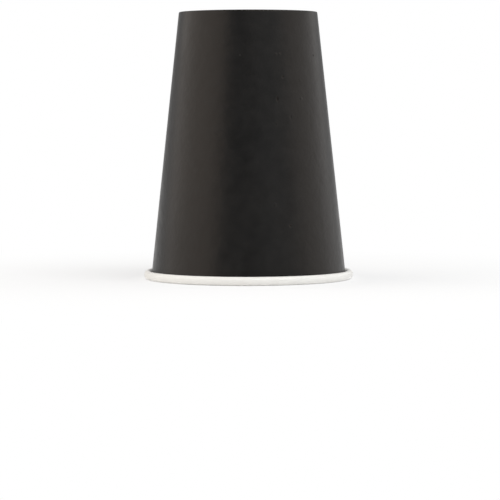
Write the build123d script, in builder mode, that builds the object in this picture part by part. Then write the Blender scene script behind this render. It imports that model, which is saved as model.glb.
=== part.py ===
from build123d import *
import math
import os

# Paper cup for hot drinks, stored mouth down: the rolled rim is on the ground and the foot is on top.
# Lengths are in millimetres, +Z is up, and the origin is the centre of the rim's lowest circle.
# The cup is two pieces of board: a wrapped side wall, and a base disc clamped in the wall's folded hem.

# Driving dimensions of the cup
cup_height = 114.5
rim_diameter = 90.0  # outermost circle of the rolled rim
foot_diameter = 59.4  # outer corner of the foot, before its fold is rounded

# Board
wall_board = 0.35
base_board = 0.30

# Rolled rim
curl_width = 3.5  # from the wall's white face to the rim's outermost circle
curl_flat = 0.45  # upright stretch between the roll's two half turns
curl_clearance = 0.15  # between one turn of the roll and the next
curl_tail_angle = 110.0  # of the last turn, which is tucked out of sight

# Hemmed foot
base_recess = 8.0  # from the foot to the base disc's outer face
hem_gap = 1.1  # from the bend round the base disc to the hem's cut edge
base_bend_radius = 0.5  # inside the bend between the base disc and its skirt
seal_clearance = 0.02  # between faces that are sealed together
fold_bend_share = 0.3  # of the pocket's width, for the radius of each of the hem's two bends

# Side seam
seam_angle = 112.0  # of the outer layer's cut edge, about +Z from +X
lap_width = 7.0  # of the overlap, at half the cup's height
ramp_width = 2.5  # over which the outer layer comes down past the inner layer's edge
ramp_feather = 0.05  # thickness that is left where the ramp ends
lap_tuck_share = 0.7  # of the roll's upper radius, for how far the lap reaches down behind the roll

# The cone: the wall's outer face runs from the foot's corner down to the inside of the roll
rim_radius = rim_diameter / 2
foot_radius = foot_diameter / 2
curl_radius = curl_width / 2
curl_x = rim_radius - curl_radius
curl_z = curl_radius
cone_reach = math.hypot(curl_x - foot_radius, cup_height - curl_z)
cone_slant = math.atan2(cup_height - curl_z, curl_x - foot_radius)
draft = math.acos((curl_radius - wall_board) / cone_reach) - cone_slant
draft_degrees = math.degrees(draft)
lean = math.sin(draft)
rise = math.cos(draft)

# The roll: its upper half turn comes back to the wall, and its tail lies inside the lower half turn
upper_z = curl_z + curl_flat
upper_gap = (rim_radius - foot_radius) * rise - (cup_height - upper_z) * lean - curl_clearance
upper_radius = upper_gap / (1 + rise)
tuck_run = curl_flat * rise - (curl_radius - upper_radius) * lean
tail_radius = curl_radius - wall_board - curl_clearance

# The hem: the wall's board turns over the skirt's edge in two bends, with a flat land between them
pocket_width = base_board + 2 * seal_clearance
fold_radius = pocket_width * fold_bend_share
land_width = (pocket_width - 2 * fold_radius) / rise
fold_z = cup_height - wall_board - fold_radius
fold_x = foot_radius - (wall_board + fold_radius) * (1 - lean) / rise
wall_run = (curl_x - fold_x) * lean + (fold_z - curl_z) * rise

# The base disc: its skirt lies along the wall's white face and stops short of the hem's bends
base_outer_bend = base_bend_radius + base_board
base_z = cup_height - base_recess - base_board
bend_z = base_z + base_outer_bend
bend_drop = (cup_height - bend_z) * lean
bend_x = foot_radius - (base_outer_bend + wall_board + seal_clearance - bend_drop) / rise
skirt_run = (bend_x - fold_x) * lean + (fold_z - bend_z) * rise - seal_clearance

# The hem's leaf starts at its cut edge, a little way above the bend round the base disc
hem_z = cup_height - base_recess + base_bend_radius + hem_gap
hem_run = (fold_z - fold_radius * lean - hem_z) / rise
hem_x = fold_x - land_width - fold_radius * rise + hem_run * lean

os.makedirs("parts", exist_ok=True)


def bent_sheet(start, heading, runs, board):
    """Draw the section of a bent sheet of board, which lies to the left of its path.

    A run is a length, for a straight stretch, or a radius and an angle, for a bend.
    """
    along = Vector(math.cos(math.radians(heading)), math.sin(math.radians(heading)))
    near = Vector(*start)
    far = near + Vector(-along.Y, along.X) * board
    Line(near, far)
    for run in runs:
        if isinstance(run, tuple):
            radius, angle = run
            far_radius = radius - math.copysign(board, angle)
            near_edge = JernArc(near, along, radius, angle)
            far_edge = JernArc(far, along, far_radius, angle)
        else:
            near_edge = Line(near, near + along * run)
            far_edge = Line(far, far + along * run)
        near = near_edge @ 1
        far = far_edge @ 1
        along = near_edge % 1
    Line(near, far)


def wall_radius(height):
    """Radius of the wall's outer face at a height."""
    return foot_radius + (cup_height - height) * lean / rise


def polar(radius, angle):
    """Point at a radius from the cup's axis, at an angle in degrees."""
    return Vector(radius * math.cos(math.radians(angle)), radius * math.sin(math.radians(angle)))


# Side wall: the white face is on the path, and the printed face is to its left
wall_runs = [
    hem_run,
    (fold_radius, -90 - draft_degrees),
    land_width,
    (fold_radius, draft_degrees - 90),
    wall_run,
    (curl_radius, 180 - draft_degrees),
    curl_flat,
    (upper_radius, 180 + draft_degrees),
    tuck_run,
    (tail_radius, curl_tail_angle),
]

# The lap is measured at half height, and its edges are straight lines that run up the cone
middle_radius = wall_radius(cup_height / 2)
lap_end = seam_angle + math.degrees(lap_width / middle_radius)
ramp_end = lap_end + math.degrees(ramp_width / middle_radius)
lap_foot = upper_z + upper_radius * lap_tuck_share
lap_heights = [lap_foot, fold_z]

with BuildPart() as side_wall:
    with BuildSketch(Plane.XZ):
        with BuildLine():
            bent_sheet((hem_x, hem_z), 90 + draft_degrees, wall_runs, wall_board)
        make_face()
    revolve(axis=Axis.Z)
    # The outer layer at the seam: a square cut edge, the overlap, and a ramp down to a single layer
    for height in lap_heights:
        face_radius = wall_radius(height)
        root_radius = face_radius - wall_board / 2
        lap_radius = face_radius + wall_board
        feather_radius = face_radius + ramp_feather
        with BuildSketch(Plane.XY.offset(height)):
            with BuildLine():
                Line(polar(root_radius, seam_angle), polar(lap_radius, seam_angle))
                RadiusArc(polar(lap_radius, seam_angle), polar(lap_radius, lap_end), -lap_radius)
                Line(polar(lap_radius, lap_end), polar(feather_radius, ramp_end))
                Line(polar(feather_radius, ramp_end), polar(root_radius, ramp_end))
                RadiusArc(polar(root_radius, ramp_end), polar(root_radius, seam_angle), root_radius)
            make_face()
    loft(ruled=True)

side_wall.part.label = "side_wall"
export_step(side_wall.part, "parts/side_wall.step")

# Base disc: the coated face is on the path, towards the drink
with BuildPart() as base_disc:
    with BuildSketch(Plane.XZ):
        with BuildLine():
            base_runs = [bend_x, (base_outer_bend, 90 + draft_degrees), skirt_run]
            bent_sheet((0, base_z), 0, base_runs, base_board)
        make_face()
    revolve(axis=Axis.Z)

base_disc.part.label = "base_disc"
export_step(base_disc.part, "parts/base_disc.step")
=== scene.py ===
# %% [markdown]
# A paper cup for hot drinks, stored mouth down.
#
# The real cup is two blanks of board. One is wrapped into a cone: it overlaps itself at a side seam, is
# rolled outwards at the mouth and folded inwards at the foot. The other is a round disc with a turned
# skirt, which the fold at the foot clamps. The first blank is printed black on one side and coated white
# on the other, so the roll at the mouth shows white. This lesson builds that wrapped blank as one bent
# sheet, gives it thickness, and then makes its finishes, the light and the camera.

# %% load the frame
import math

import bpy
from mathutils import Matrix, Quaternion, Vector


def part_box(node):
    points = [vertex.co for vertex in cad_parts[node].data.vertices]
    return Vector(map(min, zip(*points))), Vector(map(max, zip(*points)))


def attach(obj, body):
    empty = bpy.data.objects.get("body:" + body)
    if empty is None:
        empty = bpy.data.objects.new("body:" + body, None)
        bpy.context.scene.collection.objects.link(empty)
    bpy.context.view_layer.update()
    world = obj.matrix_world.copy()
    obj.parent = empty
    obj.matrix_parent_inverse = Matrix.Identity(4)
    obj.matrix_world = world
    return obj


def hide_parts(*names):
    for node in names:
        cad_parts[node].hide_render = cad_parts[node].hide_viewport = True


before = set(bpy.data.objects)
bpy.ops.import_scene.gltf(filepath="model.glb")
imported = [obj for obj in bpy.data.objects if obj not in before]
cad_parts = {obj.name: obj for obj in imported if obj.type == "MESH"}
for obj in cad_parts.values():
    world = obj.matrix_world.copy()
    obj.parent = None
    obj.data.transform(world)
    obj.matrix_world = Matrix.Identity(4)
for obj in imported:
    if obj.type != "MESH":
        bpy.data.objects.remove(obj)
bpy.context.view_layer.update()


print("nodes:", sorted(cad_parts))

# %% [markdown]
# First the sizes. The frame gives the outside of the cup. The thickness of the board, the size of the roll
# and the depth of the hem are what this kind of cup has. All lengths are metres.
#
# The wall is a cone, and its slope follows from the other sizes: the outer face runs from the corner of
# the foot down to the inside of the roll, so it is a line that touches a small circle.

# %% sizes of the board and of the cone
wall_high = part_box("side_wall")[1]
cup_height = wall_high[2]
rim_radius = wall_high[0]
foot_radius = 0.0297  # outer corner of the foot, before its fold is rounded
board = 0.00035  # thickness of the wrapped blank
base_board = 0.00030  # thickness of the disc
curl_radius = 0.00175  # of the roll's lower half turn
curl_flat = 0.00045  # upright stretch between the roll's two half turns
curl_clearance = 0.00015  # between one turn of the roll and the next
curl_tail_angle = math.radians(110)  # of the last turn, which is tucked out of sight
seal_clearance = 0.00002  # between faces that are sealed together
hem_length = 0.0060
fold_bend_share = 0.3  # of the pocket's width, for the radius of each of the hem's two bends

curl_x = rim_radius - curl_radius
cone_reach = math.hypot(curl_x - foot_radius, cup_height - curl_radius)
cone_slant = math.atan2(cup_height - curl_radius, curl_x - foot_radius)
draft = math.acos((curl_radius - board) / cone_reach) - cone_slant
lean = math.sin(draft)
rise = math.cos(draft)
print("the wall leans", round(math.degrees(draft), 2), "degrees")

# %% sizes of the roll and of the hem
upper_z = curl_radius + curl_flat
upper_reach = (rim_radius - foot_radius) * rise - (cup_height - upper_z) * lean - curl_clearance
upper_radius = upper_reach / (1 + rise)
tuck_run = curl_flat * rise - (curl_radius - upper_radius) * lean
tail_radius = curl_radius - board - curl_clearance

pocket_width = base_board + 2 * seal_clearance
fold_radius = pocket_width * fold_bend_share
land_width = (pocket_width - 2 * fold_radius) / rise
fold_z = cup_height - board - fold_radius
fold_x = foot_radius - (board + fold_radius) * (1 - lean) / rise
wall_run = (curl_x - fold_x) * lean + (fold_z - curl_radius) * rise

hem_z = fold_z - fold_radius * lean - hem_length * rise
hem_x = fold_x - land_width - fold_radius * rise + hem_length * lean
print("the roll is", round((upper_z + upper_radius) * 1000, 2), "mm tall")

# %% [markdown]
# The wrapped blank is a sheet, so it is drawn as the line that its white face makes in section, from the
# cut edge inside the foot to the cut edge tucked inside the roll. One vertex is enough to start with. Each
# straight run extrudes it, and each bend spins it about the bend's own centre. A curve with a bevel would
# also follow this line, but an extruded and spun one keeps every bend a true arc, at the size of the bend.
#
# With no window, spin turns the opposite way to the right-hand rule, so a positive turn about +Y goes
# anticlockwise when +X is to the right and +Z is up.

# %% a single vertex, and the line that grows from it
rows = [0.0]  # length of board from the start of the line to each of its points


def start_vertex(name, x, z):
    """Leave one selected vertex, in edit mode, in a new object that sits at the origin."""
    bpy.ops.object.select_all(action="DESELECT")
    bpy.ops.mesh.primitive_plane_add(size=board, location=(0, 0, 0))
    made = bpy.context.object
    made.name = name
    bpy.ops.object.mode_set(mode="EDIT")
    bpy.ops.mesh.select_mode(type="VERT")
    bpy.ops.mesh.select_all(action="SELECT")
    bpy.ops.mesh.merge(type="CENTER")
    bpy.ops.transform.translate(value=(x, 0, z))
    return made


def straight(place, heading, length, steps=1):
    """Extrude the end of the line, and return its new place."""
    move = Vector((math.cos(heading), 0, math.sin(heading))) * (length / steps)
    for _ in range(steps):
        bpy.ops.mesh.extrude_region_move(TRANSFORM_OT_translate={"value": move})
        rows.append(rows[-1] + length / steps)
    return place + move * steps


def bend(place, heading, radius, turn, steps):
    """Spin the end of the line about a bend's centre, and return its new place and heading."""
    side = math.copysign(math.pi / 2, turn)
    centre = place + Vector((math.cos(heading + side), 0, math.sin(heading + side))) * radius
    bpy.ops.mesh.spin(steps=steps, angle=turn, center=centre, axis=(0, 1, 0))
    for _ in range(steps):
        rows.append(rows[-1] + radius * abs(turn) / steps)
    turned = heading + turn
    return centre - Vector((math.cos(turned + side), 0, math.sin(turned + side))) * radius, turned


# %% the section of the blank: hem, fold, wall and roll
quarter = math.pi / 2
seam_fade = 0.004  # length of wall next to the fold, over which the seam's outer layer rises
hem_steps = 4
fold_steps = 6
fade_steps = 4
wall_steps = 22
lower_steps = 20
upper_steps = 22
tail_steps = 12

wall_board = start_vertex("wall_board", hem_x, hem_z)
place = Vector((hem_x, 0, hem_z))
heading = quarter + draft
place = straight(place, heading, hem_length, hem_steps)
place, heading = bend(place, heading, fold_radius, -quarter - draft, fold_steps)
place = straight(place, heading, land_width)
place, heading = bend(place, heading, fold_radius, draft - quarter, fold_steps)
fold_row = len(rows) - 1
place = straight(place, heading, seam_fade, fade_steps)
fade_row = len(rows) - 1
place = straight(place, heading, wall_run - seam_fade, wall_steps)
roll_row = len(rows) - 1
place, heading = bend(place, heading, curl_radius, 2 * quarter - draft, lower_steps)
place = straight(place, heading, curl_flat)
upper_row = len(rows) - 1
place, heading = bend(place, heading, upper_radius, 2 * quarter + draft, upper_steps)
place = straight(place, heading, tuck_run)
place, heading = bend(place, heading, tail_radius, curl_tail_angle, tail_steps)
print("points in the section:", len(rows), "along", round(rows[-1] * 1000, 1), "mm of board")

# %% [markdown]
# The line is wrapped round the axis by one more spin. A full turn would close it like a turned pot, but a
# cup is a wrapped blank, so the spin goes on past the full turn by the width of the overlap. Both ends
# then lie in the same place: one of them is lifted in the next step.

# %% wrap the blank
columns_in_turn = 360
lap_columns = 11
ramp_columns = 4
seam_angle = math.radians(112)  # of the outer layer's cut edge, about +Z from +X
column_angle = 2 * math.pi / columns_in_turn
columns = columns_in_turn + lap_columns

bpy.ops.mesh.select_all(action="SELECT")
bpy.ops.mesh.spin(steps=columns, angle=columns * column_angle, center=(0, 0, 0), axis=(0, 0, -1))
bpy.ops.mesh.select_all(action="SELECT")
bpy.ops.mesh.normals_make_consistent(inside=False)
bpy.ops.object.mode_set(mode="OBJECT")
print("faces in the wrapped blank:", len(wall_board.data.polygons))

# %% [markdown]
# The spin copies the line column by column, so a vertex is known by its column and by its row along the
# line. The line's own vertices aren't numbered in order, because the spins and extrusions made them in
# turns, so the order is read by walking along the first column from its loose end.

# %% number the rows of a column
row_count = len(rows)


def walk_first_column(mesh):
    """The first column's vertex numbers, in the order that they lie along the board."""
    beside = {}
    for edge in mesh.edges:
        one, other = edge.vertices
        if one < row_count and other < row_count:
            beside.setdefault(one, []).append(other)
            beside.setdefault(other, []).append(one)
    order = [0]
    while len(order) < row_count:
        order.append(next(n for n in beside[order[-1]] if n not in order[-2:]))
    return order


row_order = walk_first_column(wall_board.data)
print("the walk goes from", row_order[0], "to", row_order[-1])


def vertex(column, row):
    """Number of the vertex at a column and a row."""
    return column * row_count + row_order[row]


# %% [markdown]
# At the side seam the outer layer lies on the inner one, so it is lifted by one thickness of board, and
# just past the inner layer's edge it comes down again in a short ramp. This is a weight painting job: the
# weight says how far each vertex is lifted, and a Displace modifier lifts along the normals, which point to
# the printed side. The lift fades out near the foot, where the real blank's inner corner is cut away so
# that the hem stays one board thick. Moving columns by hand would do the same, one call for each column.

# %% paint and lift the outer layer of the seam
seam_lift = board * 1.03  # a little over one thickness, so that the layers stay apart


def ease(share):
    """Rise smoothly from 0 to 1 as the share does."""
    share = min(max(share, 0), 1)
    return share * share * (3 - 2 * share)


def paint(piece, name, weights):
    """Make a vertex group from a table of vertex number to weight."""
    group = piece.vertex_groups.new(name=name)
    for number, weight in weights.items():
        group.add([number], weight, "REPLACE")


def apply_displace(piece, group, strength, texture=None, mid_level=0.0):
    """Push the painted vertices along their normals, and apply the push."""
    push = piece.modifiers.new(group, "DISPLACE")
    push.vertex_group = group
    push.strength = strength
    push.mid_level = mid_level
    push.texture = texture
    push.texture_coords = "LOCAL"
    bpy.ops.object.modifier_apply(modifier=push.name)


lift_weights = {}
for column in range(lap_columns + ramp_columns):
    across = 1 - ease((column - lap_columns) / ramp_columns)
    for row in range(fold_row, row_count):
        along = ease((rows[row] - rows[fold_row]) / seam_fade)
        lift_weights[vertex(column, row)] = across * along
paint(wall_board, "seam", lift_weights)
apply_displace(wall_board, "seam", seam_lift)
print("vertices lifted at the seam:", len(lift_weights))

# %% [markdown]
# The foot is sealed by rollers that press the folded hem against the disc's skirt from the inside. The
# inner roller is ribbed, so the hem has fine upright ribs all round. They are painted on every third
# column of the hem and raised by a fraction of the board's thickness, with the same modifier.
#
# Rolled board is never a perfect cone either. Slow waves of a few hundredths of a millimetre are enough to
# make a highlight on the wall waver, and they stop short of the foot and the roll, where the board is held.

# %% press the ribs of the hem
rib_columns = 3
rib_height = 0.00008
rib_rows = range(1, hem_steps)

rib_weights = {
    vertex(column, row): 1.0 for column in range(0, columns, rib_columns) for row in rib_rows
}
paint(wall_board, "ribs", rib_weights)
apply_displace(wall_board, "ribs", rib_height)
print("ribs in the hem:", columns_in_turn // rib_columns)

# %% let the wall wave a little
wave_height = 0.00006
wave_length = 0.021
wave_fade = 0.014

wave = bpy.data.textures.new("board_wave", "CLOUDS")
wave.noise_scale = wave_length
wave_weights = {}
for row in range(fade_row, roll_row):
    from_foot = ease((rows[row] - rows[fade_row]) / wave_fade)
    from_roll = ease((rows[roll_row] - rows[row]) / wave_fade)
    for column in range(columns + 1):
        wave_weights[vertex(column, row)] = from_foot * from_roll
paint(wall_board, "waves", wave_weights)
apply_displace(wall_board, "waves", wave_height, wave, mid_level=0.5)
print("vertices of the wall that wave:", len(wave_weights))

# %% [markdown]
# Two notches in the inner layer, both out of sight: one under the hem and one at the end of the roll. A
# real blank has them for the same reason, since two layers can't lie in the room that one has.

# %% notch the inner layer
notch_steps = 15  # of the roll's upper half turn, before the notch starts
notch_row = upper_row + notch_steps


def select_parts(piece, kind, wanted):
    """Select the faces or edges for which wanted is true, and return how many they are."""
    bpy.ops.object.mode_set(mode="EDIT")
    bpy.ops.mesh.select_mode(type=kind)
    bpy.ops.mesh.select_all(action="DESELECT")
    bpy.ops.object.mode_set(mode="OBJECT")
    count = 0
    for part in piece.data.polygons if kind == "FACE" else piece.data.edges:
        part.select = wanted(part)
        count += part.select
    return count


row_of = {number: row for row, number in enumerate(row_order)}


def in_notch(face):
    """True for a face of the inner layer that a notch takes away."""
    inner = min(face.vertices) // row_count >= columns_in_turn
    lowest = min(row_of[number % row_count] for number in face.vertices)
    return inner and (lowest < fade_row or lowest >= notch_row)


notched = select_parts(wall_board, "FACE", in_notch)
bpy.ops.object.mode_set(mode="EDIT")
bpy.ops.mesh.delete(type="FACE")
bpy.ops.object.mode_set(mode="OBJECT")
print("faces taken out of the inner layer:", notched)

# %% [markdown]
# This cup also has a handful of small dents and pimples in its front. They are a millimetre or two across,
# and the wall's faces are taller than that, so the faces near them are split first: their upright edges into
# short ones, and then the short faces nearest to a mark into fine ones. Splitting the whole wall as finely
# would take more than a million faces. Each mark is then a soft oval of weight round one point, pushed in
# or out.

# %% the places of the dents and pimples
mark_depth = 0.00022

# Angle from the front in degrees, height, half width, half height, and rise as a share of the depth
wall_marks = (
    (21.3, 0.0772, 0.0009, 0.0019, -0.82),
    (26.4, 0.0864, 0.0009, 0.0009, -0.78),
    (41.2, 0.0774, 0.0009, 0.0009, 0.74),
    (21.5, 0.0958, 0.0007, 0.0008, 0.62),
    (24.5, 0.0959, 0.0007, 0.0008, 0.62),
    (26.3, 0.0244, 0.0008, 0.0008, -1.00),
    (31.1, 0.0697, 0.0006, 0.0012, -0.60),
    (16.9, 0.0332, 0.0006, 0.0016, 0.75),
)


def mark_centre(angle, height):
    """Place of a mark on the white face of the wall, before the blank is turned to its seam."""
    radius = foot_radius - board / rise + (cup_height - height) * lean / rise
    turn = math.radians(angle) - seam_angle
    return Vector((radius * math.sin(turn), -radius * math.cos(turn), height))


print("dents:", sum(mark[-1] < 0 for mark in wall_marks), "of", len(wall_marks), "marks")

# %% split the faces near them
upright_cuts = 7
fine_cuts = 2
column_width = column_angle * rim_radius
row_length = rows[fade_row + 1] - rows[fade_row]
short_length = row_length / (upright_cuts + 1)


def near_mark(middle, length):
    """True where a mark reaches a face or edge, given its middle and how long it is upwards."""
    for angle, height, half_width, half_height, _ in wall_marks:
        away = middle - mark_centre(angle, height)
        across = math.hypot(away.x, away.y)
        if across < half_width + column_width and abs(away.z) < half_height + length / 2:
            return True
    return False


def upright_near_mark(edge):
    """True for an upright edge that a mark reaches."""
    one, other = [wall_board.data.vertices[number].co for number in edge.vertices]
    return abs(one.z - other.z) > row_length / 2 and near_mark((one + other) / 2, row_length)


def short_near_mark(face):
    """True for a short face that a mark reaches."""
    return near_mark(face.center, short_length)


def split_selected(cuts):
    """Cut every selected edge that many times."""
    bpy.ops.object.mode_set(mode="EDIT")
    bpy.ops.mesh.subdivide(number_cuts=cuts)
    bpy.ops.object.mode_set(mode="OBJECT")


tall = select_parts(wall_board, "EDGE", upright_near_mark)
split_selected(upright_cuts)
short = select_parts(wall_board, "FACE", short_near_mark)
split_selected(fine_cuts)
print("upright edges split:", tall, "short faces split:", short)
print("faces now:", len(wall_board.data.polygons))

# %% [markdown]
# The weights of the dents are also kept as an attribute of the mesh, for painted shade in the dents: the
# print reads them there and darkens its ink.

# %% press the dents in and the pimples out
# painted shade: the dents' weights are kept to darken the ink in them
dent_shade_name = "dent_painted_shade"

dent_weights = {}
pimple_weights = {}
for angle, height, half_width, half_height, rise_share in wall_marks:
    centre = mark_centre(angle, height)
    weights = dent_weights if rise_share < 0 else pimple_weights
    for point in wall_board.data.vertices:
        away = point.co - centre
        far = math.hypot(away.x / half_width, away.y / half_width, away.z / half_height)
        if far < 1:
            weights[point.index] = abs(rise_share) * (1 - ease(far))
paint(wall_board, "dents", dent_weights)
apply_displace(wall_board, "dents", -mark_depth)
paint(wall_board, "pimples", pimple_weights)
apply_displace(wall_board, "pimples", mark_depth)

# the dents' weights again, for the painted shade in their ink
painted_shade = wall_board.data.attributes.new(dent_shade_name, "FLOAT", "POINT")
for number, weight in dent_weights.items():
    painted_shade.data[number].value = weight
print("vertices in dents:", len(dent_weights), "and in pimples:", len(pimple_weights))

# %% [markdown]
# The line was the white face of the board, so the thickness grows from it towards the printed side. A
# Solidify modifier does it in one step, closes the cut edges, and numbers the materials as it goes: the
# printed side keeps the first one, the white side takes the second and the cut edges take the third. It
# is applied once those materials are there. The blank is also turned, to bring its seam to the back.

# %% give the board its thickness
grow = wall_board.modifiers.new("thickness", "SOLIDIFY")
grow.thickness = board
grow.offset = 1
grow.use_rim = True
grow.material_offset = 1
grow.material_offset_rim = 2
wall_board.rotation_euler.z = seam_angle
print("thickness of the board:", round(grow.thickness * 1000, 2), "mm")

# %% [markdown]
# Finishes come next. Their patterns are sums and products of noise, so a small class wraps a socket of the
# shader: adding or multiplying two of its wires adds the Math node that does so, and one method adds any
# other node. The shader then reads like the formula that it is.

# %% a wire of a shader
class Wire:
    """A socket of a node tree, with operators that add Math nodes."""

    def __init__(self, tree, socket=None):
        self.tree = tree
        self.socket = socket

    def node(self, kind, settings=None, sockets=None, output=0):
        """Add a node, set it up, fill or link its sockets, and return one of its outputs."""
        made = self.tree.nodes.new(kind)
        for name, value in (settings or {}).items():
            setattr(made, name, value)
        for name, value in (sockets or {}).items():
            if isinstance(value, Wire):
                self.tree.links.new(value.socket, made.inputs[name])
            else:
                made.inputs[name].default_value = value
        return Wire(self.tree, made.outputs[output] if made.outputs else None)

    def math(self, operation, first, second):
        """Add a Math node."""
        return self.node("ShaderNodeMath", {"operation": operation}, {0: first, 1: second})

    def __add__(self, other):
        return self.math("ADD", self, other)

    def __radd__(self, other):
        return self.math("ADD", other, self)

    def __sub__(self, other):
        return self.math("SUBTRACT", self, other)

    def __rsub__(self, other):
        return self.math("SUBTRACT", other, self)

    def __mul__(self, other):
        return self.math("MULTIPLY", self, other)

    def __rmul__(self, other):
        return self.math("MULTIPLY", other, self)


# %% nodes that the finishes share
def clear_tree(owner):
    """Empty an owner's node tree, and return a wire to start from."""
    owner.use_nodes = True
    owner.node_tree.nodes.clear()
    return Wire(owner.node_tree)


def own_place(pen):
    """Where a point is in its object's own space, in metres."""
    return pen.node("ShaderNodeTexCoord", None, None, "Object")


def vector(pen, operation, *values, output="Vector"):
    """Add a Vector Math node."""
    sockets = dict(enumerate(values))
    return pen.node("ShaderNodeVectorMath", {"operation": operation}, sockets, output)


def noise(pen, place, size, detail=2.0, roughness=0.5, output=0):
    """Cloudy noise whose blotches have about that size, from 0 to 1."""
    sockets = {"Vector": place, "Scale": 1 / size, "Detail": detail, "Roughness": roughness}
    return pen.node("ShaderNodeTexNoise", None, sockets, output)


def step(pen, value, low, high):
    """Rise smoothly from 0 to 1 while a value goes from low to high."""
    sockets = {"Value": value, "From Min": low, "From Max": high}
    return pen.node("ShaderNodeMapRange", {"interpolation_type": "SMOOTHSTEP"}, sockets)


def blend(pen, share, first, second):
    """Mix two colours: a share of 0 gives the first and a share of 1 the second."""
    return pen.node("ShaderNodeMix", {"data_type": "RGBA"}, {0: share, 6: first, 7: second}, 2)


def bump(pen, height, depth):
    """Normal of a surface with that relief, in metres from its lowest point to its highest."""
    return pen.node("ShaderNodeBump", None, {"Height": height, "Distance": depth, "Strength": 1.0})


def surface(pen, **sockets):
    """Finish a tree with one Principled surface."""
    named = {name.replace("_", " "): value for name, value in sockets.items()}
    shader = pen.node("ShaderNodeBsdfPrincipled", None, named)
    pen.node("ShaderNodeOutputMaterial", None, {"Surface": shader})


# %% [markdown]
# The printed side is matt black ink under a thin varnish, on board that is not flat. Its light comes almost
# all from the sheen of the varnish, so the sheen carries the detail: fibres and soft clouds of the board
# in the normal, and a roughness that drifts. A few pale crumbs of paper dust and dull rubbed spots are
# scattered by Voronoi cells, where each cell's own random colour decides whether it has a spot at all.

# %% scattered spots
chance_edge = 0.001  # width of the step that keeps a cell's spot or leaves it out


def spots(pen, place, cell, radius, kept):
    """Ragged spots in a share of the cells of a random grid, from 0 to 1."""
    ragged = noise(pen, place, radius, output="Color")
    ragged = vector(pen, "MULTIPLY_ADD", ragged, (2 * radius,) * 3, place)
    sockets = {"Vector": ragged, "Scale": 1 / cell}
    far = pen.node("ShaderNodeTexVoronoi", None, sockets, "Distance")
    chance = pen.node("ShaderNodeTexVoronoi", None, sockets, "Color")
    chance = pen.node("ShaderNodeSeparateColor", None, {"Color": chance})
    inside = 1 - step(pen, far, 0.5 * radius / cell, radius / cell)
    return inside * step(pen, chance, 1 - kept, 1 - kept + chance_edge)


# %% printed board
ink_deep = (0.0061, 0.0066, 0.0070, 1)
ink_thin = (0.0102, 0.0109, 0.0115, 1)
# painted shade in the dents: between these two weights of a dent, the ink darkens towards this colour
ink_painted_shade = (0.0010, 0.0010, 0.0010, 1)
shade_start = 0.10  # weight of a dent at which its ink starts to darken
shade_full = 0.60
dust_grey = (0.16, 0.15, 0.14, 1)
dust_share = 0.20
print_relief = 0.00017
spot_turn = math.radians(43)  # of the random grid about the axis
varnish = {"IOR": 1.48, "Specular_IOR_Level": 0.31, "Specular_Tint": (1.0, 0.86, 0.755, 1)}


def make_black_print():
    """Black ink under varnish, dusty and rubbed in places, with painted shade in the dents."""
    material = bpy.data.materials.new("black_print")
    pen = clear_tree(material)
    place = own_place(pen)
    cloud = noise(pen, place, size=0.0048, roughness=0.55)
    fibre = noise(pen, place, size=0.0009, detail=3.0, roughness=0.6)
    drift = noise(pen, place, size=0.022)
    sockets = {"Vector": place, "Angle": spot_turn}
    turned = pen.node("ShaderNodeVectorRotate", {"rotation_type": "Z_AXIS"}, sockets)
    dust = spots(pen, turned, cell=0.0065, radius=0.00034, kept=0.12)
    rubbed = spots(pen, turned, cell=0.0080, radius=0.00085, kept=0.14)
    # the dents' weights, read for the painted shade in them
    dent_shade = pen.node("ShaderNodeAttribute", {"attribute_name": dent_shade_name}, None, "Fac")
    ink = blend(pen, cloud, ink_deep, ink_thin)
    ink = blend(pen, dust * dust_share, ink, dust_grey)
    # painted shade: darker ink in the dents
    ink = blend(pen, step(pen, dent_shade, shade_start, shade_full), ink, ink_painted_shade)
    rough = 0.21 + 0.13 * cloud + 0.13 * drift + 0.45 * rubbed
    relief = bump(pen, 0.96 * cloud + 0.04 * fibre, print_relief)
    surface(pen, Base_Color=ink, Roughness=rough, Normal=relief, **varnish)
    return material


black_print = make_black_print()
print("nodes in the printed board:", len(black_print.node_tree.nodes))

# %% [markdown]
# The other side is board with a thin film of plastic that keeps the drink out. It is white and slightly
# warm, flatter than the print, and the board's clouds still show under it. The base disc and the cut edges
# are bare board, dull, with fibres and the odd fleck in it: the disc is nearly as white as the film, and the
# edges are creamier.

# %% coated board
film_deep = (0.83, 0.815, 0.775, 1)
film_pale = (0.89, 0.88, 0.85, 1)
film_relief = 0.00005


def make_white_coat():
    """White board under a plastic film."""
    material = bpy.data.materials.new("white_coat")
    pen = clear_tree(material)
    place = own_place(pen)
    cloud = noise(pen, place, size=0.0035, detail=3.0, roughness=0.55)
    fibre = noise(pen, place, size=0.0007)
    paper = blend(pen, cloud, film_deep, film_pale)
    relief = bump(pen, 0.6 * cloud + 0.4 * fibre, film_relief)
    surface(pen, Base_Color=paper, Roughness=0.36 + 0.12 * cloud, Normal=relief, IOR=1.48)
    return material


white_coat = make_white_coat()
print("nodes in the coated board:", len(white_coat.node_tree.nodes))

# %% bare board
edge_deep = (0.66, 0.61, 0.53, 1)
edge_pale = (0.76, 0.72, 0.64, 1)
disc_deep = (0.78, 0.765, 0.725, 1)
disc_pale = (0.86, 0.85, 0.82, 1)
fleck_brown = (0.30, 0.24, 0.17, 1)
fleck_share = 0.35
bare_relief = 0.00008


def make_bare_board(name, deep, pale):
    """Board with nothing on it, between two colours."""
    material = bpy.data.materials.new(name)
    pen = clear_tree(material)
    place = own_place(pen)
    cloud = noise(pen, place, size=0.0050, detail=3.0, roughness=0.55)
    fibre = noise(pen, place, size=0.0006, detail=4.0, roughness=0.65)
    fleck = spots(pen, place, cell=0.0040, radius=0.00016, kept=0.10)
    paper = blend(pen, 0.6 * cloud + 0.4 * fibre, deep, pale)
    paper = blend(pen, fleck_share * fleck, paper, fleck_brown)
    relief = bump(pen, 0.5 * cloud + 0.5 * fibre, bare_relief)
    surface(pen, Base_Color=paper, Roughness=0.82, Normal=relief, IOR=1.45)
    return material


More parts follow.
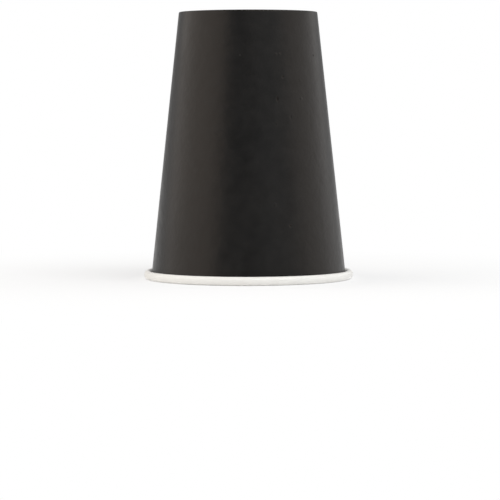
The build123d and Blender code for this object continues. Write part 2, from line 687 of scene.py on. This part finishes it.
cut_edge = make_bare_board("cut_edge", edge_deep, edge_pale)
bare_board = make_bare_board("bare_board", disc_deep, disc_pale)
print("finishes of bare board:", cut_edge.name, bare_board.name)

# %% [markdown]
# The slots are filled before the thickness is applied, since the modifier counts on from the slot of the
# face that it starts from. Then the piece takes the place of its frame node. The base disc keeps the
# frame's own mesh, which is already a bent disc of the right thickness, and only takes a finish.

# %% apply the thickness and dress both pieces
crease_angle = math.radians(40)
finishes = (black_print, white_coat, cut_edge)

for finish in finishes:
    wall_board.data.materials.append(finish)
bpy.ops.object.modifier_apply(modifier=grow.name)
bpy.ops.object.transform_apply(location=False, rotation=True, scale=False)
bpy.ops.object.shade_smooth_by_angle(angle=crease_angle)

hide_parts("side_wall")
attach(wall_board, "root")

base_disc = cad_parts["base_disc"]
base_disc.data.materials.clear()
base_disc.data.materials.append(bare_board)

for number, finish in enumerate(finishes):
    count = sum(face.material_index == number for face in wall_board.data.polygons)
    print("faces of", finish.name, count)

# %% [markdown]
# A black cup shows its shape by what it mirrors. Two large soft boxes stand to its left and right, so
# their sheen brightens the wall towards both edges and leaves a dark band in the middle, where the wall
# mirrors the dim room behind the camera. A weak, cool box beside the camera lifts the right half of that
# band, and one above it lights the floor and the shoulder of the white roll.
#
# On a cone, the mirrored edge of an upright lamp leans outwards with the wall. All the boxes but the upper
# one are rolled about their own axes, so that the left edge of the dark band runs straight down instead.

# %% soft boxes
def soft_box(name, place, aim, width, height, radiance, colour, roll=0.0):
    """A rectangular area lamp, given by how bright its face looks and rolled about its own axis."""
    bpy.ops.object.light_add(type="AREA", location=place)
    lamp = bpy.context.object
    lamp.name = name
    facing = (Vector(aim) - Vector(place)).to_track_quat("-Z", "Y")
    lamp.rotation_euler = (facing @ Quaternion((0, 0, 1), roll)).to_euler()
    lamp.data.shape = "RECTANGLE"
    lamp.data.size = width
    lamp.data.size_y = height
    lamp.data.energy = radiance * width * height * math.pi
    lamp.data.color = colour


middle = (0, 0, cup_height / 2)
box_roll = math.radians(-35)
warm_white = (1.0, 0.945, 0.89)
soft_white = (1.0, 0.985, 0.97)
cool_white = (0.70, 0.86, 1.0)
plain_white = (1.0, 1.0, 1.0)

soft_box(
    "left_box", place=(-0.72, -0.10, 0.36), aim=middle,
    width=1.45, height=1.20, radiance=1.11, colour=warm_white, roll=box_roll,
)
soft_box(
    "right_box", place=(0.72, 0.15, 0.36), aim=middle,
    width=1.20, height=1.00, radiance=0.72, colour=soft_white, roll=box_roll,
)
soft_box(
    "right_fill", place=(0.52, -0.66, 0.36), aim=middle,
    width=0.60, height=1.00, radiance=0.24, colour=cool_white, roll=box_roll,
)
soft_box(
    "top_box", place=(0.34, -0.66, 1.00), aim=middle,
    width=1.20, height=0.80, radiance=3.10, colour=plain_white,
)

# %% [markdown]
# The room is white as the camera sees it. As a light it is a plain grey that dims round the camera, and
# sheen also sees it white straight behind the cup.

# %% the room
room_light = 0.38
room_dim = 0.03
toward_camera = (0, -1, 0)
dim_edge = 0.35  # cosine of the angle from the camera's side at which the room starts to dim
dim_core = 0.95  # and of the angle within which it is dimmest
backdrop_edge = 0.92  # cosine of the angle from straight behind at which the white starts
backdrop_core = 0.99  # and of the angle within which it is full
white = (1, 1, 1, 1)


def light_paths(pen):
    """Two wires: 1 on a ray from the camera, and 1 on a ray that is mirrored or goes through."""
    seen = pen.node("ShaderNodeLightPath", None, None, "Is Camera Ray")
    glossy = pen.node("ShaderNodeLightPath", None, None, "Is Glossy Ray")
    through = pen.node("ShaderNodeLightPath", None, None, "Is Transmission Ray")
    return seen, glossy + through


studio = bpy.data.worlds.new("studio")
bpy.context.scene.world = studio
pen = clear_tree(studio)
direction = pen.node("ShaderNodeTexCoord", None, None, "Generated")
front = vector(pen, "DOT_PRODUCT", direction, toward_camera, output="Value")
beyond = 1 - step(pen, front, dim_edge, dim_core)
seen, mirrored = light_paths(pen)
backdrop = seen + mirrored * step(pen, 0 - front, backdrop_edge, backdrop_core)
level = room_dim + beyond * (room_light - room_dim)
level = level + backdrop * (1 - level)
shine = pen.node("ShaderNodeBackground", None, {"Color": white, "Strength": level})
pen.node("ShaderNodeOutputWorld", None, {"Surface": shine})
print("nodes in the room:", len(studio.node_tree.nodes))

# %% [markdown]
# The floor is plain white paper. Close to the cup it takes the cup's soft shadow, and farther away it turns
# into the white of the room, so that no edge or horizon shows.

# %% the floor
floor_side = 24
floor_paper = (0.9, 0.9, 0.9, 1)
shadow_share = 0.45  # of paper that takes the shadow, in the floor's look close to the cup
shadow_near = 0.06  # distance from the axis at which that share starts to fade
shadow_far = 0.22  # and at which it is gone

bpy.ops.object.select_all(action="DESELECT")
bpy.ops.mesh.primitive_plane_add(size=floor_side, location=(0, 0, 0))
floor = bpy.context.object
floor.name = "floor"

white_floor = bpy.data.materials.new("white_floor")
pen = clear_tree(white_floor)
reach = vector(pen, "LENGTH", own_place(pen), output="Value")
seen, mirrored = light_paths(pen)
plain = (1 - shadow_share) + shadow_share * step(pen, reach, shadow_near, shadow_far)
paper = pen.node("ShaderNodeBsdfDiffuse", None, {"Color": floor_paper})
glow = pen.node("ShaderNodeEmission", None, {"Color": white, "Strength": 1.0})
mixed = pen.node("ShaderNodeMixShader", None, {0: plain * (seen + mirrored), 1: paper, 2: glow})
pen.node("ShaderNodeOutputMaterial", None, {"Surface": mixed})
floor.data.materials.append(white_floor)
print("nodes in the floor:", len(white_floor.node_tree.nodes))

# %% [markdown]
# The camera is a long lens a metre away, a little above half height and tipped down by a few degrees, so
# the foot is seen nearly edge on and the roll as a flat curve.

# %% the camera
camera_place = (0.00075, -1.03, 0.0749)
camera_tip = math.radians(3.480)
camera_roll = math.radians(0.12)
lens = 172.13
sensor = 36

bpy.ops.object.camera_add(location=camera_place, rotation=(quarter - camera_tip, camera_roll, 0))
camera = bpy.context.object
camera.data.lens = lens
camera.data.sensor_width = sensor
bpy.context.scene.camera = camera
bpy.context.scene.view_settings.view_transform = "Standard"
print("lens:", lens, "mm")
